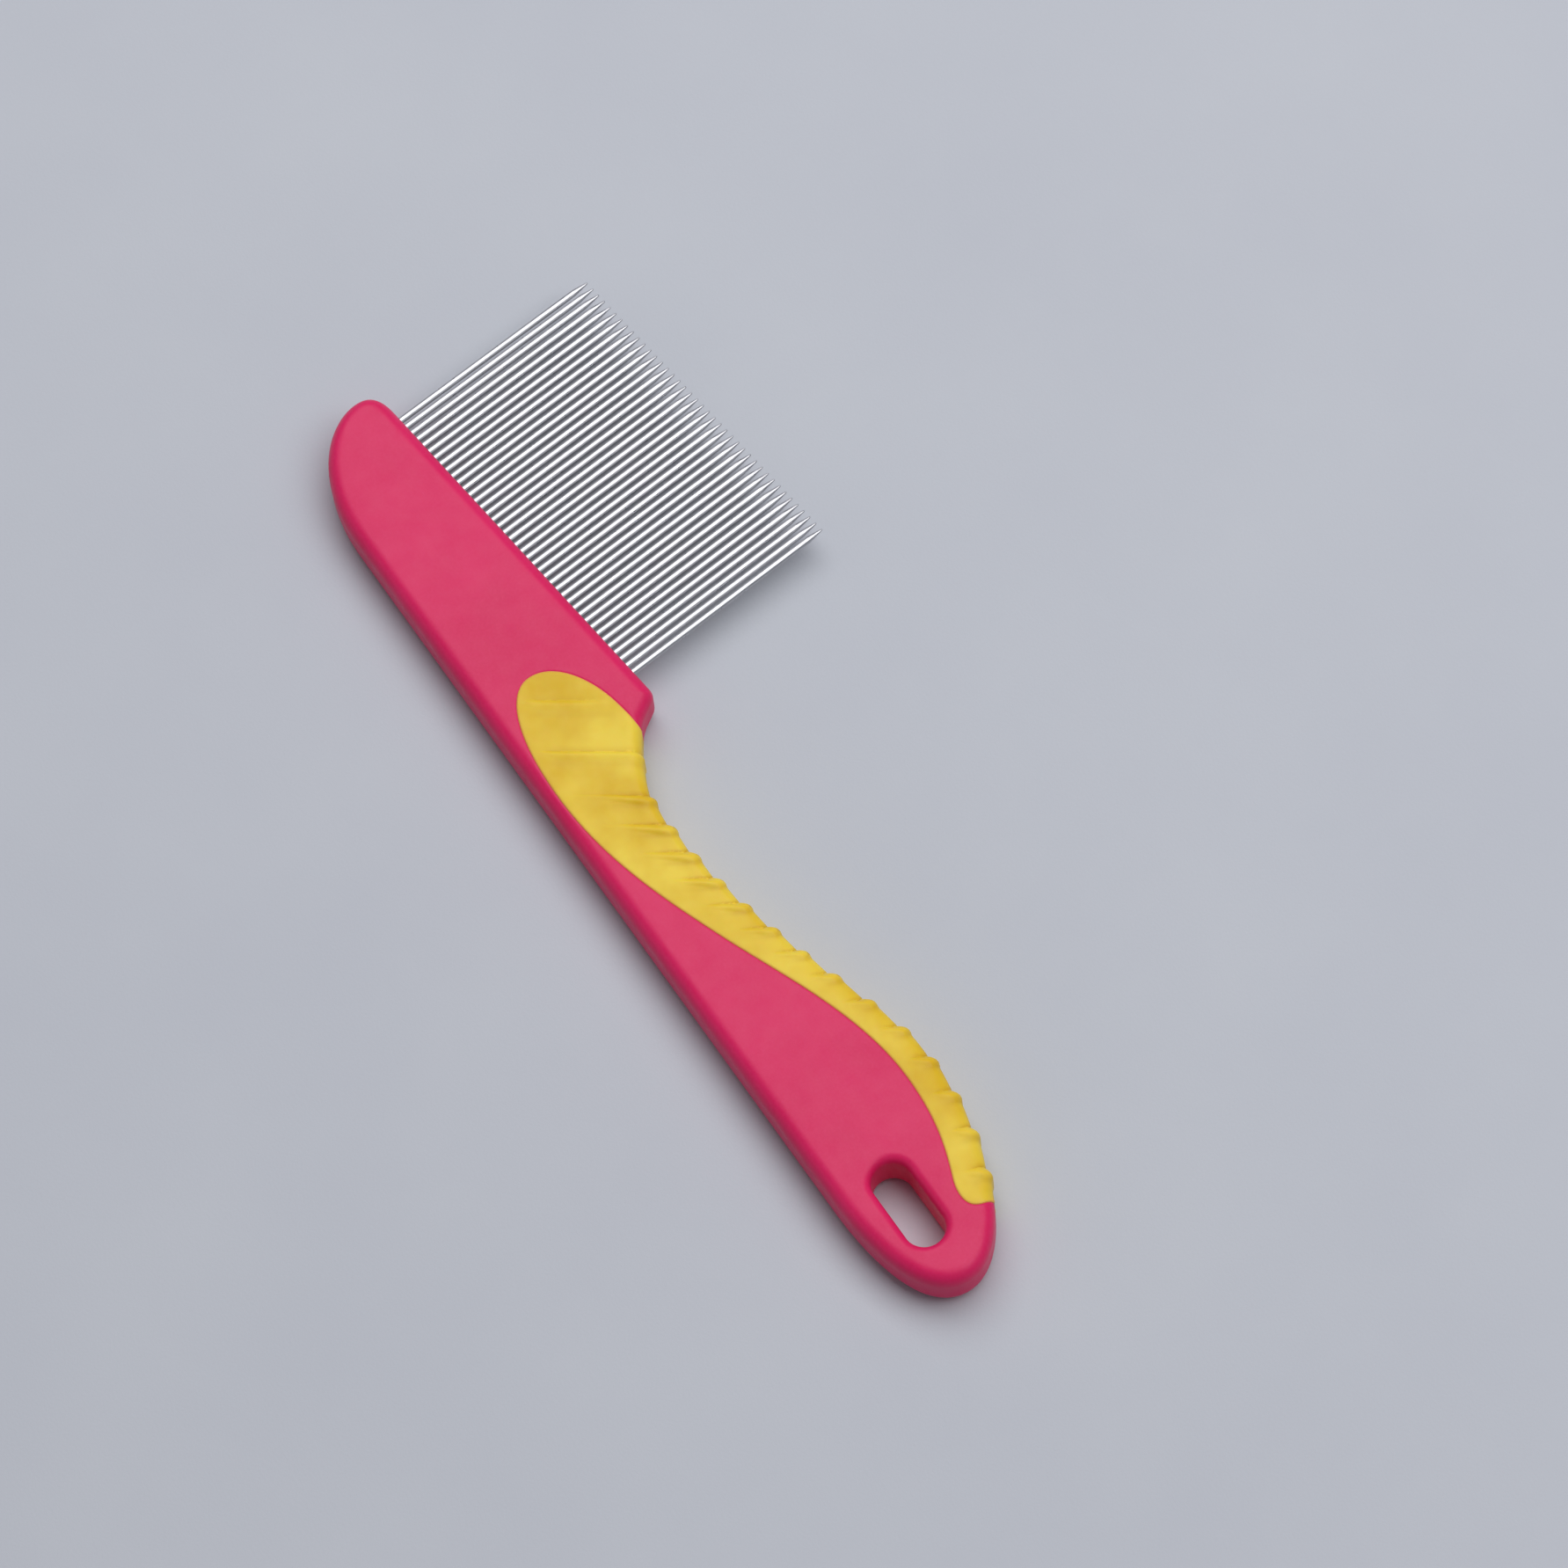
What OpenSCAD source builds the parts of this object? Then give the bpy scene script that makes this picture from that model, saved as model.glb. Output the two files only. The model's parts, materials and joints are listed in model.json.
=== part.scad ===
// Long-toothed flea comb: a moulded handle with a soft grip and a lift-out
// cassette that holds one row of round steel pins. Millimetres.

/* [Handle] */
// Overall length of the handle moulding
comb_len = 183; // [176:1:200]
// Thickness of the handle, front face to back face
body_t = 8; // [7.4:0.1:9]
// Radius of the rounded edge round both faces
edge_r = 2.4; // [1.8:0.1:2.6]

/* [Hanging slot] */
// Length of the hanging slot, end to end
hang_len = 15.5; // [12:0.5:17]
// Width of the hanging slot
hang_w = 6.5; // [5:0.1:7.5]
// Radius of the rounded rim of the hanging slot
rim_r = 1.5; // [0.6:0.1:1.8]

/* [Soft grip] */
// Thickness of the soft skin over the handle core
skin_t = 1.4; // [1:0.1:1.6]
// Distance between two ribs, along the handle
rib_pitch = 6.25; // [5.5:0.05:6.5]
// Number of ribs
rib_count = 15; // [8:1:15]
// Depth of the groove in front of each rib
rib_depth = 0.7; // [0.3:0.05:0.9]

/* [Pins] */
// Number of pins in the row, the same as the number of pin nodes
pin_count = 41; // [41:1:41]
// Distance between two pins
pin_pitch = 1.5; // [1.4:0.01:1.5]
// Diameter of a pin
pin_d = 1.1; // [0.9:0.05:1.2]
// Length of a pin outside the handle
pin_out = 39; // [25:0.5:45]
// Length of the ground point of a pin
point_len = 3; // [2:0.5:6]
// Diameter of the blunted end of a pin
point_d = 0.3; // [0.2:0.05:0.5]
// Slope of the pin row against the back edge, in degrees
row_angle = 6.2; // [5.8:0.1:6.4]

/* [Cassette] */
// Length of a pin inside the carrier bar
pin_in = 7.4; // [6:0.1:7.8]
// Thickness of the carrier bar
carrier_t = 3; // [2.6:0.1:3.2]
// Depth of the slot in the handle
slot_depth = 9.4; // [9:0.1:9.4]
// Gap between the carrier bar and each slot wall
slide_gap = 0.06; // [0.04:0.01:0.1]
// Length of the carrier bar beyond the first and the last pin
carrier_over = 1.8; // [1.6:0.1:1.9]

/* [Hidden] */
$fn = 48;

// Stretch of the handle behind the pin row
long_k = (comb_len - 76) / (183 - 76);
function lengthened(p) = [p[0] < 76 ? p[0] : 76 + (p[0] - 76) * long_k, p[1]];

// The pin row: a frame with X along the row and Y out of the handle
row_start = [5.6, 17.55];
row_len = (pin_count - 1) * pin_pitch;
function on_row(s, out) = [
    row_start[0] + s * cos(row_angle) - out * sin(row_angle),
    row_start[1] + s * sin(row_angle) + out * cos(row_angle),
];
mid_z = body_t / 2;
pin_r = pin_d / 2;
point_r = point_d / 2;

// Extent of the whole comb across the handle
comb_w = on_row(row_len, pin_out - point_r)[1] + point_r;

// Points on cubic curves; each curve is [start, pull, pull, end]
function curve_at(c, t) =
    c[0] * pow(1 - t, 3)
    + c[1] * 3 * t * pow(1 - t, 2)
    + c[2] * 3 * t * t * (1 - t)
    + c[3] * pow(t, 3);
function chain(curves, steps) = [
    for (i = [0:len(curves) - 1])
    for (j = [0:steps[i] - 1])
        curve_at(curves[i], j / steps[i])
];
function straight(a, b) = [a, a + (b - a) / 3, b - (b - a) / 3, b];

// Handle outline, anticlockwise from the back edge near the front end
heel_end = on_row(row_len + 4.9, -0.25);
row_top = on_row(-0.6, 0);
row_dir = [cos(row_angle), sin(row_angle)];
outline_curves = [
    straight([22, 0], [160, 0]),
    [[160, 0], [172, 0], [183, 2.5], [183, 10]],
    [[183, 10], [183, 14.5], [178, 19.3], [170, 22.3]],
    [[170, 22.3], [164.7, 24.3], [158, 25.8], [150, 25.8]],
    [[150, 25.8], [141, 25.8], [132, 21.7], [119, 18.3]],
    [[119, 18.3], [107.5, 15.3], [99, 14.1], [90, 14.1]],
    [[90, 14.1], [86, 14.1], [82.5, 15.5], [79.4, 17.2]],
    [[79.4, 17.2], [77.3, 18.3], [75.6, 19.2], [74.3, 20.7]],
    [[74.3, 20.7], [73.8, 21.3], [73.2, 22.2], [72.75, 22.9]],
    [[72.75, 22.9], [72.25, 23.75], heel_end + 1.15 * row_dir, heel_end],
    straight(heel_end, row_top),
    [row_top, row_top - 2.8 * row_dir, [0, 16.3], [0, 13.4]],
    [[0, 13.4], [0, 8], [7, 0], [22, 0]],
];
outline_steps = [1, 8, 6, 5, 6, 6, 4, 4, 1, 5, 1, 5, 8];
outline = [for (p = chain(outline_curves, outline_steps)) lengthened(p)];

// Edge of the soft grip on both faces, closed outside the outline
grip_curves = [
    straight([79, 24], [76.8, 19.9]),
    [[76.8, 19.9], [75.2, 19.05], [72.5, 18.95], [69.5, 18.35]],
    [[69.5, 18.35], [64.2, 17.3], [58.6, 14.2], [58.6, 9.8]],
    [[58.6, 9.8], [58.6, 5.6], [66, 2.8], [78, 2.8]],
    [[78, 2.8], [92, 2.8], [103, 6.2], [113, 9.6]],
    [[113, 9.6], [124, 13.6], [137, 20.4], [150, 20.4]],
    [[150, 20.4], [158, 20.4], [163, 18.9], [168, 16.9]],
    [[168, 16.9], [171, 15.7], [174, 15.8], [174.4, 18.6]],
    straight([174.4, 18.6], [176, 30]),
    straight([176, 30], [79, 30]),
];
grip_steps = [1, 3, 6, 6, 6, 6, 4, 4, 1, 1];
grip_edge = [for (p = chain(grip_curves, grip_steps)) lengthened(p)];

// Inward normal of the outline's side that starts at point i
function side_normal(i, n) =
    let (d = outline[(i + 1) % n] - outline[i])
    [-d[1], d[0]] / norm(d);

// The outline drawn in by a distance, with every side kept parallel
function drawn_in(inset) =
    let (n = len(outline))
    [
        for (i = [0:n - 1])
            let (a = side_normal((i + n - 1) % n, n), b = side_normal(i, n))
            outline[i] + inset / (1 + a * b) * (a + b)
    ];

// Rings of the rounded handle: inset of the outline, height
ring_angles = [0, 30, 60, 90];
ring_list = concat(
    [[edge_r, -1]],
    [for (a = ring_angles) [edge_r * (1 - sin(a)), edge_r * (1 - cos(a))]],
    [for (a = ring_angles) [edge_r * (1 - cos(a)), body_t - edge_r * (1 - sin(a))]],
    [[edge_r, body_t + 1]]
);

// Handle shape with rounded edges, before anything is cut from it
module handle_solid() {
    n = len(outline);
    m = len(ring_list);
    points = [
        for (k = ring_list)
        for (p = drawn_in(k[0]))
            [p[0], p[1], k[1]]
    ];
    walls = [
        for (k = [0:m - 2])
        for (i = [0:n - 1])
            [
                k * n + i,
                (k + 1) * n + i,
                (k + 1) * n + (i + 1) % n,
                k * n + (i + 1) % n,
            ]
    ];
    bottom = [[for (i = [0:n - 1]) i]];
    top = [[for (i = [0:n - 1]) (m - 1) * n + n - 1 - i]];
    intersection() {
        polyhedron(points, concat(walls, bottom, top));
        translate([-5, -5, 0])
            cube([comb_len + 10, 40, body_t]);
    }
}

// Hard core under the skin of the grip
module handle_core() {
    translate([0, 0, skin_t])
        linear_extrude(body_t - 2 * skin_t)
            polygon(drawn_in(skin_t));
}

// Everything inside the edge of the grip
module grip_zone() {
    translate([0, 0, -1])
        linear_extrude(body_t + 2)
            polygon(grip_edge);
}

// Section of the material that a rounded rim takes away
module rim_section() {
    difference() {
        translate([hang_w / 2 - 0.5, body_t - rim_r])
            square([rim_r + 0.5, rim_r + 1]);
        translate([hang_w / 2 + rim_r, body_t - rim_r])
            circle(rim_r);
    }
}

// Rounded rim of the hanging slot on the front face
module rim_cut() {
    half = (hang_len - hang_w) / 2;
    for (side = [-1, 1])
        translate([side * half, 0, 0])
            rotate_extrude()
                rim_section();
    for (side = [0, 1])
        mirror([0, side, 0])
            translate([-half, 0, 0])
                rotate([90, 0, 90])
                    linear_extrude(2 * half)
                        rim_section();
}

// Hanging slot through the handle, with both rims
hang_centre = lengthened([167.7, 9]);
module hang_cut() {
    half = (hang_len - hang_w) / 2;
    translate(hang_centre) {
        translate([0, 0, -1])
            linear_extrude(body_t + 2)
                union() {
                    translate([-half, -hang_w / 2])
                        square([2 * half, hang_w]);
                    translate([-half, 0])
                        circle(hang_w / 2);
                    translate([half, 0])
                        circle(hang_w / 2);
                }
        rim_cut();
        translate([0, 0, body_t])
            mirror([0, 0, 1])
                rim_cut();
    }
}

// Moves a shape from the frame of the pin row to the handle
module to_row() {
    translate([row_start[0], row_start[1], mid_z])
        rotate([0, 0, row_angle])
            children();
}

// Slot that the cassette slides into, open along the pin side
module cassette_slot() {
    reach = carrier_over + 0.1;
    to_row()
        translate([-reach, -slot_depth, -carrier_t / 2 - slide_gap])
            cube([row_len + 2 * reach, slot_depth + 5, carrier_t + 2 * slide_gap]);
}

// Puts the comb on its frame: middle of the bounding box, back face at Z = 0
module placed() {
    translate([-comb_len / 2, -comb_w / 2, 0])
        children();
}

// Handle moulding before its slots are cut, with the grip's bed sunk into it
module handle_shell() {
    difference() {
        handle_solid();
        difference() {
            grip_zone();
            handle_core();
        }
    }
}

module body() {
    color([0.85, 0.2, 0.42])
        placed()
            difference() {
                handle_shell();
                hang_cut();
                cassette_slot();
            }
}

// One groove on both faces of the grip, along X, deeper towards the outer edge
module groove() {
    for (face = [0, 1])
        mirror([0, 0, face])
            translate([0, 0, mid_z])
                rotate([0, 5, 0])
                    rotate([90, 0, 90])
                        translate([0, 0, -9])
                            linear_extrude(12)
                                polygon([[-0.8, 1], [0, -rib_depth], [3.6, 1]]);
}

// Height of the outline over the back edge at a distance along the handle
function side_y(x) = max([
    for (i = [1:len(outline) - 1])
        let (a = outline[i], b = outline[i - 1])
        (a[0] <= x && b[0] > x && a[1] > 13)
            ? a[1] + (b[1] - a[1]) * (x - a[0]) / (b[0] - a[0])
            : 0
]);

module grip() {
    color([0.87, 0.74, 0.27])
        placed()
            difference() {
                intersection() {
                    handle_solid();
                    grip_zone();
                }
                handle_core();
                for (i = [0:rib_count - 1]) {
                    x = lengthened([82 + i * rib_pitch, 0])[0];
                    translate([x, side_y(x), mid_z])
                        rotate([0, 0, 58 + i * 1.5])
                            groove();
                }
            }
}

module pin_carrier() {
    color([0.78, 0.78, 0.8])
        placed()
            to_row()
                difference() {
                    translate([-carrier_over, -slot_depth + 0.2, -carrier_t / 2])
                        cube([row_len + 2 * carrier_over, slot_depth - 0.4, carrier_t]);
                    for (i = [0:pin_count - 1])
                        translate([i * pin_pitch, -pin_in, 0])
                            rotate([-90, 0, 0])
                                cylinder(h = pin_in + 1, r = pin_r);
                }
}

module pin(i) {
    color([0.8, 0.81, 0.83])
        placed()
            to_row()
                translate([(i - 1) * pin_pitch, -pin_in, 0])
                    rotate([-90, 0, 0]) {
                        shank = pin_in + pin_out - point_len;
                        cylinder(h = shank, r = pin_r);
                        translate([0, 0, shank])
                            cylinder(h = point_len - point_r, r1 = pin_r, r2 = point_r);
                        translate([0, 0, shank + point_len - point_r])
                            sphere(point_r, $fn = 24);
                    }
}

body();
grip();
pin_carrier();
for (i = [1:41])
    pin(i);
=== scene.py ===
"""Looks of the long-toothed flea comb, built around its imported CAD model.

The shapes are worked out in handle coordinates: millimetres, X from the front tip to
the end of the handle, Y from the back edge towards the pins, Z from the back face to
the front face. placed() turns them into the shared frame, in metres.
"""
import json
import math

import bmesh
import bpy
import numpy as np
from mathutils import Matrix, Vector, kdtree
from mathutils.geometry import delaunay_2d_cdt


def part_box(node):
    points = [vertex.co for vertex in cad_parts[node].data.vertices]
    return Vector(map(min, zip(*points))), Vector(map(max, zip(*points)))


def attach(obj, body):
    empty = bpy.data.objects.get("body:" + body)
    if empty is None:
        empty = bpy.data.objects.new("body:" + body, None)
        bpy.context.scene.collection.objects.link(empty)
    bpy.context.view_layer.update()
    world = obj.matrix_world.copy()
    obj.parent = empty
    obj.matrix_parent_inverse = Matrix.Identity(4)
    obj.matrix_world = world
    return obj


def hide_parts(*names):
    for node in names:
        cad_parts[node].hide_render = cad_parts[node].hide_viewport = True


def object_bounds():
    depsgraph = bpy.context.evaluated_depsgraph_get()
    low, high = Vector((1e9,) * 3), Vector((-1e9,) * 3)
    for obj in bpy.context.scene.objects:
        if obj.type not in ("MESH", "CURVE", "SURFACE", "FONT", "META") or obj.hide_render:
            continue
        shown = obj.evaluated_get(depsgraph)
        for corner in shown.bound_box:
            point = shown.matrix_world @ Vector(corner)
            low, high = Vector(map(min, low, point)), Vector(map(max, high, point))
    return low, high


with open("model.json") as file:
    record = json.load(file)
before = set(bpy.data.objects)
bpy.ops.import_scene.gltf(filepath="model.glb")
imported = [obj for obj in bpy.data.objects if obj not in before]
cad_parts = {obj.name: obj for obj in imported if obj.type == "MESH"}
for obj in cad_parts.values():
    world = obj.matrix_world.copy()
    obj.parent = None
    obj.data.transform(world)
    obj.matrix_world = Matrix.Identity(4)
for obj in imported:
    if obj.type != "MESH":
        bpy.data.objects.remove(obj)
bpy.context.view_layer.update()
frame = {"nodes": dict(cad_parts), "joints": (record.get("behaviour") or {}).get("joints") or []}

MM = 0.001

# ---------------------------------------------------------------- sizes, in mm
HANDLE_LOW, HANDLE_HIGH = (np.array(corner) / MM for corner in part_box("body"))
ORIGIN = HANDLE_LOW
THICK = HANDLE_HIGH[2] - HANDLE_LOW[2]
MID_Z = THICK / 2

EDGE_R = 2.4          # rounding of both faces
SKIN = 1.4            # thickness of the soft grip over its core
HANG_CENTRE = np.array([167.7, 9.0])
HANG_LEN, HANG_W = 15.5, 6.5
HANG_STRAIGHT = (HANG_LEN - HANG_W) / 2     # half of its straight stretch
RIM_R = 1.5           # rounded rim of the hanging slot

SEAM_DEPTH = 0.09     # groove round the grip
SEAM_WIDTH = 0.22
GRIP_PROUD = 0.1      # how far the grip stands over the hard plastic
GRIP_LIP = 0.4        # width of the rounded edge of the grip

RIB_HEIGHT = 0.55     # crest over the line from groove to corner
RIB_FALL = 0.4        # how far a groove lies under the outline
RIB_REACH = 0.74      # share of the grip's width that a rib crosses
RIB_SINK = 0.24       # how far the ribs are let into the flat face

# -------------------------------------------------- outlines, as cubic curves
ROW_ANGLE = math.radians(6.2)
ROW = np.array([math.cos(ROW_ANGLE), math.sin(ROW_ANGLE)])
OUT = np.array([-ROW[1], ROW[0]])
ROW_START = np.array([5.6, 17.55])
ROW_LEN = 60.0


def on_row(along, out):
    """A point given by its distance along the pin row and out of the handle."""
    return ROW_START + along * ROW + out * OUT


def straight(a, b):
    """A straight stretch, written as a cubic curve."""
    a, b = np.array(a, float), np.array(b, float)
    return [a, a + (b - a) / 3, b - (b - a) / 3, b]


HEEL_END = on_row(ROW_LEN + 5.2, -0.25)
ROW_TOP = on_row(-0.6, 0)
OUTLINE = [
    straight([22, 0], [160, 0]),
    [[160, 0], [172, 0], [183, 2.5], [183, 10]],
    [[183, 10], [183, 14.5], [178, 19.3], [170, 22.3]],
    [[170, 22.3], [164.7, 24.3], [158, 25.8], [150, 25.8]],
    [[150, 25.8], [141, 25.8], [132, 21.7], [119, 18.3]],
    [[119, 18.3], [107.5, 15.3], [99, 14.1], [90, 14.1]],
    [[90, 14.1], [86, 14.1], [82.5, 15.5], [79.4, 17.2]],
    [[79.4, 17.2], [77.3, 18.3], [75.6, 19.2], [74.3, 20.7]],
    [[74.3, 20.7], [73.8, 21.3], [73.2, 22.2], [72.6, 23.1]],
    [[72.6, 23.1], [72, 24.05], HEEL_END + 0.9 * ROW, HEEL_END],
    straight(HEEL_END, ROW_TOP),
    [ROW_TOP, ROW_TOP - 2.8 * ROW, [0, 16.3], [0, 13.4]],
    [[0, 13.4], [0, 8], [7, 0], [22, 0]],
]
GRIP_EDGE = [
    straight([79, 26], [76.8, 19.9]),
    [[76.8, 19.9], [75.2, 19.05], [72.5, 18.95], [69.5, 18.35]],
    [[69.5, 18.35], [64.2, 17.3], [58.5, 14.2], [58.5, 9.6]],
    [[58.5, 9.6], [58.5, 5], [66, 1.9], [79, 1.9]],
    [[79, 1.9], [92, 1.9], [103, 5.9], [113, 9.6]],
    [[113, 9.6], [124, 13.6], [137, 20.4], [150, 20.4]],
    [[150, 20.4], [158, 20.4], [163, 18.9], [168, 16.9]],
    [[168, 16.9], [171, 15.7], [174, 15.8], [174.4, 18.6]],
    straight([174.4, 18.6], [176, 30]),
    straight([176, 30], [79, 26]),
]
FINE = 0.04           # spacing of the points that stand for a true curve


def trace(curves, spacing):
    """Points along a closed chain of cubic curves, evenly spaced on each curve."""
    points = []
    for curve in curves:
        a, b, c, d = (np.array(p, float) for p in curve)
        t = np.linspace(0, 1, 400)[:, None]
        line = a * (1 - t) ** 3 + 3 * b * t * (1 - t) ** 2 + 3 * c * t**2 * (1 - t) + d * t**3
        along = np.concatenate([[0], np.cumsum(np.linalg.norm(np.diff(line, axis=0), axis=1))])
        count = max(1, round(along[-1] / spacing))
        wanted = np.linspace(0, along[-1], count + 1)[:-1]
        points.append(np.column_stack([np.interp(wanted, along, line[:, k]) for k in (0, 1)]))
    return np.vstack(points)


class Loop:
    """A closed line, dense enough to give true distances and normals."""

    def __init__(self, curves):
        self.points = trace(curves, FINE)
        ahead = np.roll(self.points, -1, axis=0)
        behind = np.roll(self.points, 1, axis=0)
        self.along = np.cumsum(np.linalg.norm(ahead - self.points, axis=1))
        self.along = np.concatenate([[0], self.along])
        tangent = ahead - behind
        tangent /= np.linalg.norm(tangent, axis=1)[:, None]
        self.inward = np.column_stack([-tangent[:, 1], tangent[:, 0]])
        self.tree = kdtree.KDTree(len(self.points))
        for i, p in enumerate(self.points):
            self.tree.insert((p[0], p[1], 0), i)
        self.tree.balance()

    def at(self, along, inset=0.0):
        """The points at these distances along the loop, drawn in by inset."""
        along = np.mod(along, self.along[-1])
        closed = np.vstack([self.points, self.points[:1]])
        inward = np.vstack([self.inward, self.inward[:1]])
        place = np.column_stack([np.interp(along, self.along, closed[:, k]) for k in (0, 1)])
        aside = np.column_stack([np.interp(along, self.along, inward[:, k]) for k in (0, 1)])
        return place + inset * aside

    def distance(self, points):
        """Distance of each point from the loop, and the unit vector towards it."""
        nearest = np.array([self.tree.find((p[0], p[1], 0))[1] for p in points])
        best = np.full(len(points), 1e9)
        foot = np.zeros((len(points), 2))
        count = len(self.points)
        for step in (-1, 0):
            a = self.points[(nearest + step) % count]
            b = self.points[(nearest + step + 1) % count]
            share = ((points - a) * (b - a)).sum(1) / ((b - a) ** 2).sum(1)
            on_side = a + np.clip(share, 0, 1)[:, None] * (b - a)
            gap = np.linalg.norm(points - on_side, axis=1)
            closer = gap < best
            best[closer] = gap[closer]
            foot[closer] = on_side[closer]
        away = foot - points
        flat = best < 1e-4
        away[flat] = -self.inward[nearest[flat]]
        return best, away / np.linalg.norm(away, axis=1)[:, None]


def inside(points, loop):
    """Whether each point lies inside a closed line of points."""
    result = np.zeros(len(points), bool)
    x, y = points[:, 0], points[:, 1]
    for a, b in zip(loop, np.roll(loop, -1, axis=0)):
        if a[1] == b[1]:
            continue
        crosses = (a[1] > y) != (b[1] > y)
        result ^= crosses & (x < a[0] + (y - a[1]) * (b[0] - a[0]) / (b[1] - a[1]))
    return result


outline = Loop(OUTLINE)
grip_edge = Loop(GRIP_EDGE)


def past_hang_wall(points):
    """Distance of each point outside the wall of the hanging slot, and its direction."""
    rel = points - HANG_CENTRE
    rel[:, 0] -= np.clip(rel[:, 0], -HANG_STRAIGHT, HANG_STRAIGHT)
    length = np.maximum(np.linalg.norm(rel, axis=1), 1e-9)
    return length - HANG_W / 2, -rel / length[:, None]


# ------------------------------------------------------------ ribs of the grip
# Each rib has a number. Its foot is where it meets the outer edge, and it runs
# inwards from there at its own angle.
RIB_AT = [-2, -1, 0, 1, 8, 13, 15]
RIB_FOOT_X = [56, 65.8, 76.8, 86.0, 128.0, 162.0, 175.6]
FIRST_RIB, LAST_RIB = -2, 14
EDGE_RUN = 1.2        # width of the outer edge, which the ribs cross squarely


def rib_angle(rib):
    """Direction of a rib from the handle's axis, in radians."""
    return np.radians(np.maximum(55, 56 + 1.85 * (rib - 1)))


# The outer edge as height over X. It is level in front of X = 88, over the thumb rest.
outer_edge = outline.points[(outline.points[:, 1] > 13) & (outline.points[:, 0] > 88)]
outer_edge = outer_edge[np.argsort(outer_edge[:, 0])]


def rib_foot(rib):
    """Foot of a rib, EDGE_RUN inside the outer edge."""
    x = np.interp(rib, RIB_AT, RIB_FOOT_X)
    return x, np.interp(x, outer_edge[:, 0], outer_edge[:, 1]) - EDGE_RUN


def rib_number(points):
    """The rib line that each point lies on, as a number with a fraction."""
    depth, away = outline.distance(points)
    p = points - np.maximum(EDGE_RUN - depth, 0)[:, None] * away
    rib = np.interp(p[:, 0], RIB_FOOT_X, RIB_AT)
    for _ in range(30):
        _, y = rib_foot(rib)
        foot_x = p[:, 0] + (y - p[:, 1]) / np.tan(rib_angle(rib))
        rib = 0.5 * rib + 0.5 * np.interp(foot_x, RIB_FOOT_X, RIB_AT)
    return rib


def smooth(low, high, value):
    """Smooth step from 0 at low to 1 at high."""
    t = np.clip((value - low) / (high - low), 0, 1)
    return t * t * (3 - 2 * t)


def rib_fade(rib, depth, to_edge):
    """Strength of the ribs: full at the outer edge, dying out towards the back edge.

    The wide ribs of the thumb rest run across all of it instead.
    """
    across = depth / (depth + to_edge + 1e-6)
    narrow = 1 - smooth(0.1, RIB_REACH, across)
    wide = smooth(0.4, 4, to_edge)
    share = np.clip(rib, 0, 1)
    reach = narrow * share + wide * (1 - share)
    return reach * np.interp(rib, [-2, -1, 0, 1, 2, 14, 15], [0.2, 0.4, 0.45, 0.85, 1, 1, 0.6])


def rib_width(rib):
    """Share of the pitch that the raised part of a rib takes."""
    return np.interp(rib, [-1, 0, 1, 3, 14], [0.3, 0.24, 0.38, 0.46, 0.34])


def rib_relief(points, depth, to_edge):
    """Height of the ribs over the plain surface of the grip, in mm."""
    rib = rib_number(points)
    part = rib - np.floor(rib)
    fade = rib_fade(rib, depth, to_edge)
    width = rib_width(rib) * (0.35 + 0.65 * fade)
    u = np.clip(part / width, 0, 1)
    crest = RIB_HEIGHT * np.sin(math.pi * u**1.15)
    slope = np.where(part < width, u - 1, -(part - width) / (1 - width)) * RIB_FALL
    crease = -0.07 * (np.exp(-((part / 0.03) ** 2)) + np.exp(-(((1 - part) / 0.03) ** 2)))
    flat = smooth(0, EDGE_R, depth)
    return (crest + slope + crease - RIB_SINK * flat) * fade * smooth(0, 1.2, to_edge)


# --------------------------------------------------- one plan mesh for both parts
RING_ANGLES = np.radians(np.arange(0, 91, 10))
RING_DEPTHS = EDGE_R * (1 - np.cos(RING_ANGLES))
PLAIN_STEP, RIB_STEP = 0.55, 0.3
RIB_PARTS = [0, 0.02, 0.045, 0.08, 0.13, 0.19, 0.25, 0.31, 0.37,
             0.43, 0.49, 0.56, 0.66, 0.78, 0.88, 0.94, 0.98]
RIBBED = [[175.5, 20.2], [79.4, 17.2]]      # ends of the ribbed stretch of the outline
RING_STEP = 0.4       # spacing along a rib line, past the rounding
CREASE_GAP = 0.8      # longest step that a crease line bridges
FACE_STEP = 1.6
SEAM_ROWS = [-0.34, -SEAM_WIDTH, -0.1, 0.08, 0.2, GRIP_LIP]
CLEAR = 0.13          # free points keep this far from a line that the mesh follows
SLOT_REACH, SLOT_DEPTH, SLOT_HALF = 1.9, 9.4, 1.56
SLOT_PAST = 3         # how far the slot's outline runs on past the row line
SLOT_STEP = 0.5


def rib_columns(depth):
    """Where rib lines cross an inset line: distance along the outline, rib, and the ends."""
    low, high = (np.argmin(np.linalg.norm(outline.points - end, axis=1)) for end in RIBBED)
    along = outline.along[low:high]
    number = rib_number(outline.at(along, depth))
    wanted = np.array([i + part for i in range(FIRST_RIB, LAST_RIB + 1) for part in RIB_PARTS])
    order = np.argsort(number)
    wanted = wanted[(wanted > number.min()) & (wanted < number.max())]
    return np.interp(wanted, number[order], along[order]), wanted, (along[0], along[-1])


def thumb_lines():
    """Points of the wide ribs on the thumb rest, line by line from the outer edge in."""
    points, ribs = [], []
    for rib in (i + part for i in range(FIRST_RIB, 1) for part in RIB_PARTS):
        run = np.arange(9, -14, -0.45)[:, None]
        angle = rib_angle(rib)
        points.append(np.array([rib_foot(rib)]) + run * np.array([[math.cos(angle), math.sin(angle)]]))
        ribs.append(np.full(len(run), rib))
    points, ribs = np.vstack(points), np.concatenate(ribs)
    depth, _ = outline.distance(points)
    wanted = inside(points, outline.points[::10]) & (depth > EDGE_R + 0.15)
    return points[wanted], ribs[wanted]


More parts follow.
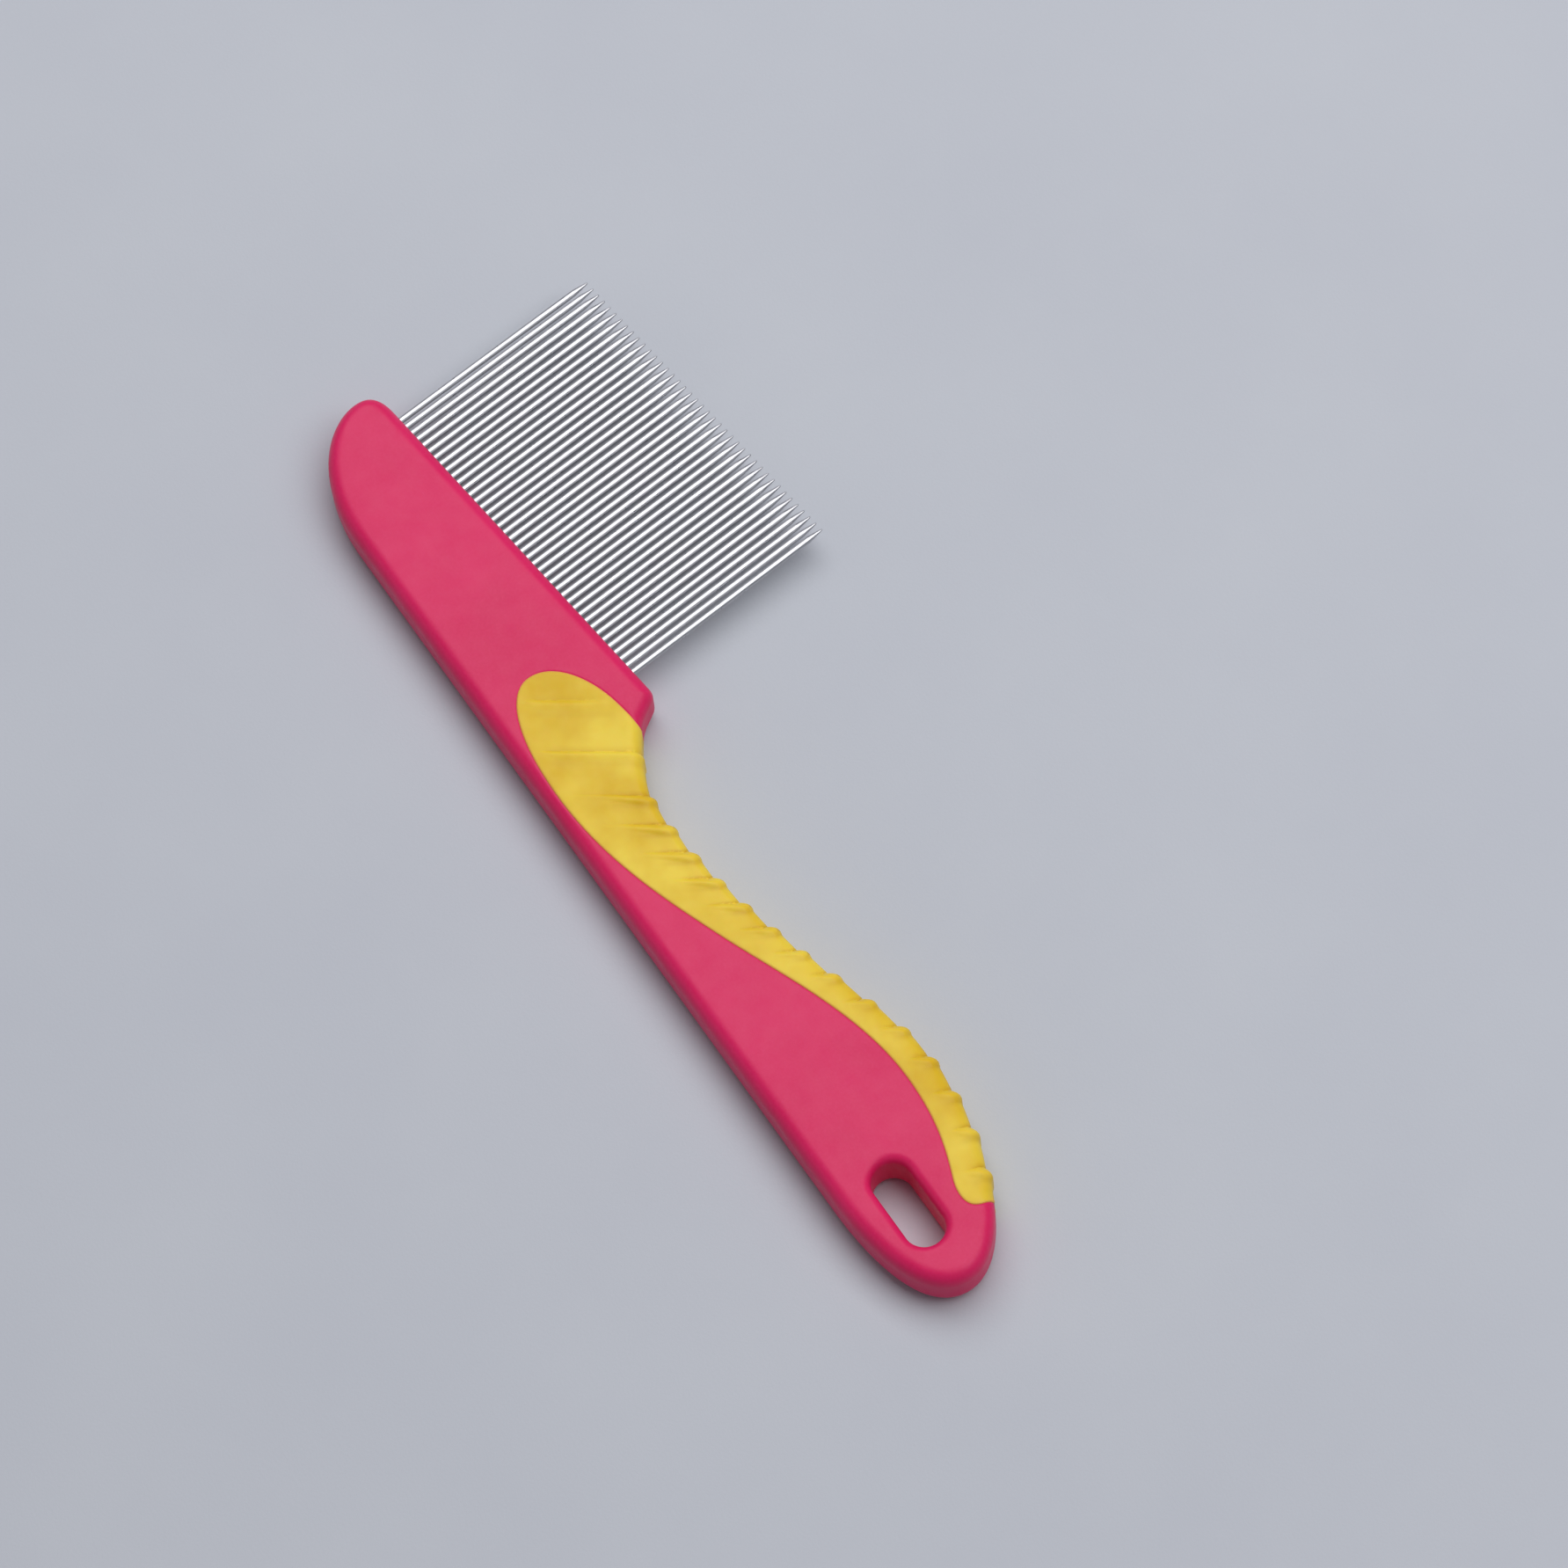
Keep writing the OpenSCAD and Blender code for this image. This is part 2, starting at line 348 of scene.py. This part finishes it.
def thinned(points, height, step):
    """Points of a dense line kept at even steps in space, heights included."""
    space = np.column_stack([points, height])
    run = np.concatenate([[0], np.cumsum(np.linalg.norm(np.diff(space, axis=0), axis=1))])
    wanted = np.linspace(0, run[-1], max(2, int(run[-1] / step)))
    return np.column_stack([np.interp(wanted, run, points[:, k]) for k in (0, 1)])


def face_height(depth):
    """Height of the rounded front face at a distance inside the outline."""
    share = 1 - np.clip(depth / EDGE_R, 0, 1)
    return THICK - EDGE_R + EDGE_R * np.sqrt(np.maximum(1 - share**2, 0))


def chain_edges(first, count, closed=True):
    """Edges that join count points in a row, from the point numbered first."""
    return [(first + i, first + (i + 1) % count) for i in range(count if closed else count - 1)]


def near_slot_wall(points):
    """Whether each point is too close to the wall of the cassette slot."""
    x, y = (points - ROW_START) @ ROW, (points - ROW_START) @ OUT
    beside = np.minimum(np.abs(x + SLOT_REACH), np.abs(x - ROW_LEN - SLOT_REACH))
    over = (x > -SLOT_REACH) & (x < ROW_LEN + SLOT_REACH)
    return ((beside < 0.1) & (y > -SLOT_DEPTH)) | ((np.abs(y + SLOT_DEPTH) < 0.1) & over)


def may_be_free(points):
    """Whether each point keeps clear of the lines that the mesh follows."""
    true_depth, _ = outline.distance(points)
    to_seam, _ = grip_edge.distance(points)
    off_lines = (np.abs(true_depth - SKIN) > 0.06) & (to_seam > GRIP_LIP + CLEAR) & (true_depth > 0.01)
    return off_lines & ~near_slot_wall(points)


rib_feet, _, (ribs_from, ribs_to) = rib_columns(0.0)
plain = np.arange(0, outline.along[-1], PLAIN_STEP)
plain = plain[(plain < ribs_from) | (plain > ribs_to)]
rim_along = np.sort(np.concatenate([plain, rib_feet]))
rim = outline.at(rim_along[np.concatenate([[True], np.diff(rim_along) > 0.04])])


def over_face(line, step):
    """Points of a dense line kept at even steps over the rounded face."""
    depth, _ = outline.distance(line)
    return thinned(line, face_height(np.where(inside(line, rim), depth, 0)), step)


def hang_wall():
    """Points of the wall of the hanging slot."""
    turn = np.radians(np.arange(-90, 90, 6))
    arc = np.column_stack([HANG_STRAIGHT + HANG_W / 2 * np.cos(turn), HANG_W / 2 * np.sin(turn)])
    side_x = np.linspace(HANG_STRAIGHT, -HANG_STRAIGHT, 12)[:-1]
    side = np.column_stack([side_x, np.full(len(side_x), HANG_W / 2)])
    return HANG_CENTRE + np.vstack([arc, side, -arc, -side])


def slot_wall():
    """Points of the wall of the cassette slot, from one open end round to the other."""
    low, high = -SLOT_REACH, ROW_LEN + SLOT_REACH
    ends = [(low, SLOT_PAST), (low, -SLOT_DEPTH), (high, -SLOT_DEPTH), (high, SLOT_PAST)]
    corners = [on_row(*end) for end in ends]
    sides = [np.linspace(a, b, int(np.linalg.norm(b - a) / FINE)) for a, b in zip(corners, corners[1:])]
    return over_face(np.vstack(sides), SLOT_STEP)


def rib_points():
    """Points of the rib lines inside the grip, and the rib that each belongs to."""
    found, numbers = [], []
    for ring in list(RING_DEPTHS[1:]) + list(np.arange(EDGE_R + RING_STEP, 15, RING_STEP)):
        columns, ribs, _ = rib_columns(ring)
        near = (ribs >= 1) | (ring <= EDGE_R + 0.01)
        found.append(outline.at(columns[near], ring))
        numbers.append(ribs[near])
    thumb_points, thumb_ribs = thumb_lines()
    found, numbers = np.vstack(found + [thumb_points]), np.concatenate(numbers + [thumb_ribs])
    wanted = inside(found, grip_edge.points) & may_be_free(found)
    return found[wanted], numbers[wanted]


def crease_edges(line_points, line_ribs, first):
    """Edges along the creases between the ribs; the points are numbered from first."""
    made = []
    for crease in range(FIRST_RIB, LAST_RIB + 1):
        chain = np.flatnonzero(np.abs(line_ribs - crease) < 1e-6)
        for a, b in zip(chain, chain[1:]):
            if np.linalg.norm(line_points[a] - line_points[b]) < CREASE_GAP:
                made.append((first + int(a), first + int(b)))
    return made


def seam_rows():
    """Rows of points beside the seam, for its groove and for the lip of the grip."""
    rows = []
    for row in SEAM_ROWS:
        points = over_face(grip_edge.points + row * grip_edge.inward, RIB_STEP)
        gap, _ = grip_edge.distance(points)
        points = points[(gap > abs(row) - 0.03) & inside(points, rim)]
        depth, _ = outline.distance(points)
        rows.append(points[depth > 0.02])
    return rows


def hang_rings(wall):
    """Rings of points round the hanging slot, for its rounded rim."""
    _, towards = past_hang_wall(wall)
    return [wall - RIM_R * (1 - math.cos(angle)) * towards for angle in RING_ANGLES[1:]]


def face_grid():
    """Points of the flat faces of the hard plastic."""
    x, y = np.meshgrid(np.arange(0, 184, FACE_STEP), np.arange(0, 28, FACE_STEP))
    x = x + (np.arange(len(y)) % 2)[:, None] * FACE_STEP / 2
    face = np.column_stack([x.ravel(), y.ravel()])
    face = face[inside(face, rim)]
    depth, _ = outline.distance(face)
    gap, _ = grip_edge.distance(face)
    hang_gap, _ = past_hang_wall(face)
    keep = (depth > EDGE_R + 0.5) & (gap > 0.8) & (hang_gap > RIM_R + 0.5)
    return face[keep & ~inside(face, grip_edge.points) & ~near_slot_wall(face)]


# Lines that the mesh follows: closed ones, then the open wall of the cassette slot
core_line = outline.at(np.arange(0, outline.along[-1], RIB_STEP), SKIN)
seam = over_face(grip_edge.points, RIB_STEP)
hang = hang_wall()
slot = slot_wall()
edges, first = [], 0
for line in (rim, core_line, seam, hang):
    edges += chain_edges(first, len(line))
    first += len(line)
edges += chain_edges(first, len(slot), closed=False)
first += len(slot)

# Points in between
line_points, line_ribs = rib_points()
edges += crease_edges(line_points, line_ribs, first)
rings = np.vstack([outline.at(plain, ring) for ring in RING_DEPTHS[1:]])
free = [line_points, rings[may_be_free(rings)], *seam_rows(), *hang_rings(hang), face_grid()]
points = np.vstack([rim, core_line, seam, hang, slot, *free])
plan, _, triangles, _, _, _ = delaunay_2d_cdt([Vector(p) for p in points], edges, [], 0, 1e-5)
plan = np.array([tuple(p) for p in plan])
triangles = np.array([t for t in triangles if len(t) == 3])
turn = np.cross(plan[triangles[:, 1]] - plan[triangles[:, 0]], plan[triangles[:, 2]] - plan[triangles[:, 0]])
triangles[turn < 0] = triangles[turn < 0][:, ::-1]
centres = plan[triangles].mean(1)
in_outline = inside(centres, rim)
triangles, centres = triangles[in_outline], centres[in_outline]
in_grip = inside(centres, seam)
in_core = inside(centres, core_line)
in_hang = past_hang_wall(centres)[0] < 0
row_x = (centres - ROW_START) @ ROW
row_y = (centres - ROW_START) @ OUT
in_slot = (np.abs(row_x - ROW_LEN / 2) < ROW_LEN / 2 + SLOT_REACH) & (row_y > -SLOT_DEPTH)

depth, away = outline.distance(plan)
to_seam, _ = grip_edge.distance(plan)
past_wall, _ = past_hang_wall(plan)


# ----------------------------------------------------- solids built on the plan
LEVELS = ["low", "core_low", "slot_low", "slot_high", "core_high", "high"]


def surface(relief):
    """Front-face points of the plan mesh, moved out by relief along their normals."""
    share = 1 - np.clip(depth / EDGE_R, 0, 1)
    z = face_height(depth)
    rim_share = 1 - np.clip(past_wall / RIM_R, 0, 1)
    z -= RIM_R - RIM_R * np.sqrt(np.maximum(1 - rim_share**2, 0))
    up = np.sqrt(np.maximum(1 - share**2, 0))
    xy = plan + (relief * share)[:, None] * away
    return np.column_stack([xy, z + relief * up])


def build_solid(name, relief, layers_of):
    """A closed mesh made of flat cells: layers_of gives each cell's solid layers."""
    front = surface(relief)
    heights = {"high": front[:, 2], "low": THICK - front[:, 2]}
    for level, height in (("core", SKIN), ("slot", MID_Z - SLOT_HALF)):
        heights[level + "_low"] = np.full(len(plan), height)
        heights[level + "_high"] = np.full(len(plan), THICK - height)
    # Inner levels never pass the rounded faces
    for lower, upper in zip(LEVELS, LEVELS[1:3]):
        heights[upper] = np.maximum(heights[upper], heights[lower])
    for upper, lower in zip(LEVELS[:2:-1], LEVELS[4:2:-1]):
        heights[lower] = np.minimum(heights[lower], heights[upper])
    on_rim = (depth < 1e-3)[:, None]
    between = np.where(on_rim, front[:, :2], plan)
    verts = []
    for level in LEVELS:
        xy = front[:, :2] if level in ("low", "high") else between
        verts.append(np.column_stack([xy, heights[level]]))
    verts = np.vstack(verts)
    count = len(plan)
    step = {level: k * count for k, level in enumerate(LEVELS)}

    faces = []
    filled = []
    for cell, corners in enumerate(triangles):
        solid = set()
        for low, high in layers_of(cell):
            faces.append([int(v) + step[high] for v in corners])
            faces.append([int(v) + step[low] for v in corners[::-1]])
            solid |= set(range(LEVELS.index(low), LEVELS.index(high)))
        filled.append(solid)
    owners = {}
    for cell, corners in enumerate(triangles):
        for k in range(3):
            owners[(int(corners[k]), int(corners[(k + 1) % 3]))] = cell
    for (a, b), cell in owners.items():
        other = owners.get((b, a))
        beyond = filled[other] if other is not None else set()
        for k in filled[cell] - beyond:
            low, high = k * count, (k + 1) * count
            faces.append([a + low, b + low, b + high, a + high])
    mesh = bpy.data.meshes.new(name)
    mesh.from_pydata([tuple(v) for v in placed(verts)], [], faces)
    tidy(mesh)
    return add_piece(name, mesh)


def placed(points_mm):
    """Handle coordinates in mm turned into the shared frame, in metres."""
    return (np.asarray(points_mm) + ORIGIN) * MM


def tidy(mesh, merge=2e-8, sharp=38):
    """Joins doubled points, drops loose ones, and shades the mesh smooth."""
    work = bmesh.new()
    work.from_mesh(mesh)
    bmesh.ops.remove_doubles(work, verts=work.verts, dist=merge)
    bmesh.ops.dissolve_degenerate(work, edges=work.edges, dist=merge)
    loose = [v for v in work.verts if not v.link_faces]
    bmesh.ops.delete(work, geom=loose, context="VERTS")
    work.to_mesh(mesh)
    work.free()
    mesh.shade_smooth()
    mesh.set_sharp_from_angle(angle=math.radians(sharp))


def add_piece(name, mesh):
    """A new object of this mesh, in the scene."""
    piece = bpy.data.objects.new(name, mesh)
    bpy.context.scene.collection.objects.link(piece)
    return piece


def body_layers(cell):
    """Solid layers of the hard handle in one cell."""
    if in_hang[cell] or (in_grip[cell] and not in_core[cell]):
        return []
    low, high = ("core_low", "core_high") if in_grip[cell] else ("low", "high")
    if in_slot[cell]:
        return [(low, "slot_low"), ("slot_high", high)]
    return [(low, high)]


def grip_layers(cell):
    """Solid layers of the soft grip in one cell."""
    if in_hang[cell] or not in_grip[cell]:
        return []
    if in_core[cell]:
        return [("low", "core_low"), ("core_high", "high")]
    return [("low", "high")]


in_zone = inside(plan, grip_edge.points)
seam_dip = SEAM_DEPTH * np.maximum(1 - to_seam / SEAM_WIDTH, 0)
lip = np.sqrt(1 - (1 - np.clip(to_seam / GRIP_LIP, 0, 1)) ** 2)
handle_relief = np.where(in_zone, -SEAM_DEPTH * (to_seam < 0.02), -seam_dip)
grip_relief = -SEAM_DEPTH + (SEAM_DEPTH + GRIP_PROUD) * lip + rib_relief(plan, depth, to_seam)
handle = build_solid("handle_moulding", handle_relief, body_layers)
grip = build_solid("soft_grip_skin", grip_relief, grip_layers)


# --------------------------------------------------------------------- cassette
UP = Vector((0, 0, 1))
out_way = Vector(frame["joints"][0]["axis"]).normalized()
row_way = out_way.cross(UP)
row_frame = Matrix((row_way, out_way, UP)).transposed()


def reach(node, way):
    """Lowest and highest reach of a CAD node along a direction, in metres."""
    along = [v.co.dot(way) for v in frame["nodes"][node].data.vertices]
    return min(along), max(along)


def lathed(profile, sides):
    """A bmesh turned round Y from (distance along Y, radius) pairs in mm."""
    work = bmesh.new()
    rings = []
    for along, radius in profile:
        if radius == 0:
            rings.append([work.verts.new((0, along * MM, 0))])
            continue
        ring = []
        for k in range(sides):
            angle = 2 * math.pi * k / sides
            x, z = radius * MM * math.cos(angle), radius * MM * math.sin(angle)
            ring.append(work.verts.new((x, along * MM, z)))
        rings.append(ring)
    for low, high in zip(rings, rings[1:]):
        for k in range(sides):
            after = k + 1
            corners = [low[k % len(low)], high[k % len(high)], high[after % len(high)], low[after % len(low)]]
            work.faces.new(list(dict.fromkeys(corners)))
    bmesh.ops.recalc_face_normals(work, faces=work.faces)
    return work


PIN_SIDES = 24
POINT_LEN = 3.0
BLUNT_R = 0.16        # rounding at the very tip
FOOT_CHAMFER = 0.12
SHANK_PARTS, POINT_PARTS = 6, 8


def pin_profile(length, radius):
    """Outline of a pin: a chamfered foot, a shank and a ground, blunted point."""
    shank = length - POINT_LEN
    profile = [(0, 0), (0, radius - FOOT_CHAMFER), (FOOT_CHAMFER, radius)]
    profile += [(shank * k / SHANK_PARTS, radius) for k in range(1, SHANK_PARTS)]
    for k in range(POINT_PARTS + 1):
        share = k / POINT_PARTS
        profile.append((shank + share * (POINT_LEN - BLUNT_R), radius - (radius - BLUNT_R) * share ** 1.25))
    for angle in (30, 60):
        turn_by = math.radians(angle)
        profile.append((length - BLUNT_R + BLUNT_R * math.sin(turn_by), BLUNT_R * math.cos(turn_by)))
    return profile + [(length, 0)]


def stand_in_row(name, work, centre):
    """A piece made of a bmesh whose X runs along the row and Y along the pins."""
    work.transform(Matrix.Translation(centre) @ row_frame.to_4x4())
    mesh = bpy.data.meshes.new(name)
    work.to_mesh(mesh)
    work.free()
    mesh.shade_smooth()
    mesh.set_sharp_from_angle(angle=math.radians(40))
    return add_piece(name, mesh)


def build_pin(node):
    """One steel pin, where its CAD node is."""
    row_low, row_high = reach(node, row_way)
    foot, tip = reach(node, out_way)
    low, high = reach(node, UP)
    work = lathed(pin_profile((tip - foot) / MM, (high - low) / 2 / MM), PIN_SIDES)
    centre = row_way * (row_low + row_high) / 2 + out_way * foot + UP * (low + high) / 2
    return stand_in_row("steel_" + node, work, centre)


def build_carrier(node):
    """The plastic bar that holds the pins, with rounded edges."""
    work = bmesh.new()
    bmesh.ops.create_cube(work, size=1)
    middle, size = [], []
    for way in (row_way, out_way, UP):
        low, high = reach(node, way)
        middle.append((low + high) / 2)
        size.append(high - low)
    work.transform(Matrix.Diagonal((*size, 1)))
    bmesh.ops.bevel(work, geom=list(work.edges), offset=0.45 * MM, segments=4, profile=0.5, affect="EDGES")
    centre = row_way * middle[0] + out_way * middle[1] + UP * middle[2]
    return stand_in_row("carrier_bar", work, centre)


carrier = build_carrier("pin_carrier")
pin_nodes = sorted(n for n in frame["nodes"] if n.startswith("pin_") and n != "pin_carrier")
pins = {node: build_pin(node) for node in pin_nodes}


# -------------------------------------------------------------------- materials
def linear(red, green, blue):
    """A colour given as 0-255 screen values, as the shaders want it."""
    values = [v / 255 for v in (red, green, blue)]
    return (*[v / 12.92 if v < 0.04045 else ((v + 0.055) / 1.055) ** 2.4 for v in values], 1)


class Shader:
    """A material with a Principled shader, and short ways to add nodes to it."""

    def __init__(self, name, **sockets):
        self.material = bpy.data.materials.new(name)
        self.material.use_nodes = True
        self.tree = self.material.node_tree
        self.shader = self.tree.nodes["Principled BSDF"]
        for socket, value in sockets.items():
            self.shader.inputs[socket.replace("_", " ")].default_value = value
        self.place = self.node("ShaderNodeTexCoord").outputs["Object"]

    def node(self, kind, inputs=None, **settings):
        made = self.tree.nodes.new(kind)
        for key, value in settings.items():
            setattr(made, key, value)
        for key, value in (inputs or {}).items():
            if isinstance(value, bpy.types.NodeSocket):
                self.tree.links.new(value, made.inputs[key])
            else:
                made.inputs[key].default_value = value
        return made

    def noise(self, grain_mm, detail=3.0, where=None, **inputs):
        """Noise whose grain has about this size."""
        settings = {"Vector": where or self.place, "Scale": 1 / (grain_mm * MM), "Detail": detail, **inputs}
        return self.node("ShaderNodeTexNoise", settings).outputs["Fac"]

    def spread(self, value, low, high, start=0.3, end=0.7):
        """A value between start and end turned into one between low and high."""
        settings = {"Value": value, "From Min": start, "From Max": end, "To Min": low, "To Max": high}
        return self.node("ShaderNodeMapRange", settings).outputs["Result"]

    def mix(self, factor, a, b):
        """Two colours, mixed by a factor."""
        made = self.node("ShaderNodeMix", {"Factor": factor}, data_type="RGBA")
        for key, value in (("A", a), ("B", b)):
            socket = [s for s in made.inputs if s.name == key and s.type == "RGBA"][0]
            if isinstance(value, bpy.types.NodeSocket):
                self.tree.links.new(value, socket)
            else:
                socket.default_value = value
        return [s for s in made.outputs if s.type == "RGBA"][0]

    def bump(self, height, depth_mm, below=None):
        """A normal tilted by a height, over another normal if one is given."""
        inputs = {"Height": height, "Distance": depth_mm * MM, "Strength": 1.0}
        if below:
            inputs["Normal"] = below
        return self.node("ShaderNodeBump", inputs).outputs["Normal"]

    def feed(self, socket, value):
        """Links a value to an input of the Principled shader."""
        self.tree.links.new(value, self.shader.inputs[socket])


def pink_plastic():
    """Hard satin plastic with a fine moulded grain."""
    s = Shader("pink_plastic", Specular_IOR_Level=0.32, Subsurface_Weight=0.08, Subsurface_Scale=0.001)
    s.shader.inputs["Subsurface Radius"].default_value = (1.0, 0.25, 0.3)
    cloud = s.spread(s.noise(14, 2), 0, 1)
    speck = s.spread(s.noise(0.5, 4), 0, 1)
    base = s.mix(cloud, linear(222, 26, 92), linear(230, 34, 100))
    s.feed("Base Color", s.mix(s.spread(speck, 0, 0.3, 0.2, 1), base, linear(232, 50, 112)))
    s.feed("Roughness", s.spread(s.noise(3, 4), 0.36, 0.46))
    grain = s.bump(s.noise(0.22, 2), 0.012)
    s.feed("Normal", s.bump(s.noise(2.2, 2), 0.02, grain))
    return s.material


def yellow_rubber():
    """Soft yellow elastomer, a little cloudy; darker, richer yellow painted into the creases as shade, and a
    peach edge that is part pink showing through the thin skin, part painted highlight.
    """
    s = Shader("yellow_rubber", Specular_IOR_Level=0.35, Subsurface_Weight=0.25, Subsurface_Scale=0.0012)
    s.shader.inputs["Subsurface Radius"].default_value = (1.0, 0.6, 0.12)
    cloud = s.spread(s.noise(11, 3), 0, 1, 0.35, 0.65)
    base = s.mix(cloud, linear(230, 188, 30), linear(248, 216, 68))
    # Painted shade: darker, richer yellow in the creases between the ribs, where shade falls.
    crease_shade = s.node("ShaderNodeAttribute", attribute_name="crease_shade").outputs["Fac"]
    crease_shaded = s.mix(crease_shade, base, linear(206, 158, 14))
    # Peach tint along the grip's edge: partly the pink showing through the thin skin, partly a painted
    # highlight on the grip's lip.
    thin_edge_and_highlight = s.node("ShaderNodeAttribute", attribute_name="thin_edge_and_highlight").outputs["Fac"]
    s.feed("Base Color", s.mix(thin_edge_and_highlight, crease_shaded, linear(240, 164, 96)))
    s.feed("Roughness", s.spread(s.noise(2, 4), 0.42, 0.54))
    grain = s.bump(s.noise(0.16, 2), 0.01)
    s.feed("Normal", s.bump(s.noise(1.4, 2), 0.02, grain))
    return s.material


def drawn_steel():
    """Polished wire with fine lines along its length."""
    s = Shader("drawn_steel", Metallic=1.0)
    turned = s.node("ShaderNodeMapping", {"Vector": s.place, "Rotation": (0, 0, -ROW_ANGLE)})
    stretched = s.node("ShaderNodeMapping", {"Vector": turned.outputs["Vector"], "Scale": (1, 0.02, 1)})
    lines = s.noise(0.09, 3, stretched.outputs["Vector"])
    s.feed("Base Color", s.mix(s.spread(lines, 0, 1), linear(180, 180, 184), linear(210, 210, 214)))
    s.feed("Roughness", s.spread(s.noise(1.5, 3), 0.26, 0.36))
    s.feed("Normal", s.bump(lines, 0.004))
    return s.material


def grey_plastic():
    """Hard light grey plastic of the carrier bar."""
    s = Shader("grey_plastic", Specular_IOR_Level=0.5)
    s.feed("Base Color", s.mix(s.spread(s.noise(4, 3), 0, 1), linear(196, 197, 201), linear(206, 207, 211)))
    s.feed("Roughness", s.spread(s.noise(2, 3), 0.4, 0.5))
    s.feed("Normal", s.bump(s.noise(0.3, 2), 0.015))
    return s.material


def pale_floor():
    """Plain pale studio paper."""
    s = Shader("pale_floor", Specular_IOR_Level=0.25)
    s.feed("Base Color", s.mix(s.spread(s.noise(60, 3), 0, 1), linear(196, 199, 208), linear(200, 203, 211)))
    s.feed("Roughness", s.spread(s.noise(5, 3), 0.7, 0.8))
    s.feed("Normal", s.bump(s.noise(0.5, 3), 0.02))
    return s.material


def dress(piece, material, body, slot, *nodes):
    """Gives a piece its material and its body, and hides the CAD nodes that it replaces; slot is not used."""
    piece.data.materials.append(material)
    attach(piece, body)
    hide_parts(*nodes)


def store_marks(piece):
    """Marks the creases between the ribs for painted shade, and the thin edge of the skin for its peach tint,
    part real and part painted highlight, for the material.
    """
    mesh = piece.data
    co = np.zeros(len(mesh.vertices) * 3)
    mesh.vertices.foreach_get("co", co)
    flat = (co.reshape(-1, 3) / MM - ORIGIN)[:, :2]
    gap, _ = outline.distance(flat)
    edge_gap, _ = grip_edge.distance(flat)
    number = rib_number(flat)
    part = number - np.floor(number)
    # Painted shade masks: the crease behind each rib and the valley beyond its crest.
    behind = np.exp(-(((1 - part) / 0.07) ** 2))
    beyond = np.exp(-(((part - rib_width(number)) / 0.08) ** 2))
    marks = {
        "crease_shade": (0.75 * behind + 0.45 * beyond) * rib_fade(number, gap, edge_gap),
        # Thin skin edge: pink showing through, plus a painted highlight.
        "thin_edge_and_highlight": 0.85 * np.exp(-((edge_gap / 0.24) ** 2)),
    }
    for name, value in marks.items():
        attribute = mesh.attributes.new(name, "FLOAT", "POINT")
        attribute.data.foreach_set("value", value.astype(np.float32))


store_marks(grip)
dress(handle, pink_plastic(), "handle", "handle", "body")
dress(grip, yellow_rubber(), "handle", "soft_grip", "grip")
dress(carrier, grey_plastic(), "cassette", "carrier", "pin_carrier")
steel = drawn_steel()
for node, piece in pins.items():
    dress(piece, steel, "cassette", "steel", node)


# ------------------------------------------------- floor, lights and camera
FLOOR_HALF = 3.0
LENS, SENSOR = 193.6, 36
CAMERA_PLACE = (0.5375, -0.2567, 1.1860)
CAMERA_LOOK = (-0.40347, 0.19544, -0.89387)
CAMERA_UP = (-0.73552, 0.51181, 0.44390)
SKY_COLOUR, SKY_STRENGTH = (0.80, 0.83, 0.90, 1), 0.2


def add_floor():
    """A wide floor that touches the lowest point of the comb."""
    work = bmesh.new()
    bmesh.ops.create_grid(work, x_segments=8, y_segments=8, size=FLOOR_HALF)
    mesh = bpy.data.meshes.new("floor")
    work.to_mesh(mesh)
    work.free()
    floor = add_piece("floor", mesh)
    floor.location.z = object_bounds()[0].z
    mesh.materials.append(pale_floor())
    return floor


def add_softbox(name, way, distance, size, watts):
    """A rectangular white light that looks at the comb from a direction."""
    light = bpy.data.lights.new(name, "AREA")
    light.shape = "RECTANGLE"
    light.size, light.size_y = size
    light.energy = watts
    lamp = bpy.data.objects.new(name, light)
    way = Vector(way).normalized()
    lamp.location = way * distance
    lamp.rotation_euler = (-way).to_track_quat("-Z", "Y").to_euler()
    bpy.context.scene.collection.objects.link(lamp)


def add_camera():
    """A long lens, tilted as the comb is seen from the handle's end."""
    data = bpy.data.cameras.new("camera")
    data.sensor_fit = "HORIZONTAL"
    data.sensor_width = SENSOR
    data.lens = LENS
    data.clip_start, data.clip_end = 0.05, 50
    camera = bpy.data.objects.new("camera", data)
    look = Vector(CAMERA_LOOK).normalized()
    across = look.cross(Vector(CAMERA_UP)).normalized()
    turned = Matrix((across, across.cross(look), -look)).transposed()
    camera.matrix_world = Matrix.Translation(CAMERA_PLACE) @ turned.to_4x4()
    bpy.context.scene.collection.objects.link(camera)
    bpy.context.scene.camera = camera


def add_sky():
    """An even, slightly blue light from all round."""
    world = bpy.data.worlds.new("studio")
    world.use_nodes = True
    background = world.node_tree.nodes["Background"]
    background.inputs["Color"].default_value = SKY_COLOUR
    background.inputs["Strength"].default_value = SKY_STRENGTH
    bpy.context.scene.world = world


floor = add_floor()
add_softbox("key", way=(-0.1, 0.3, 0.9), distance=1.15, size=(2.5, 0.9), watts=16.6)
add_softbox("fill", way=(-0.4, -0.9, 0.35), distance=1.4, size=(1.2, 0.5), watts=0.8)
add_sky()
bpy.context.scene.view_settings.view_transform = "Standard"
add_camera()
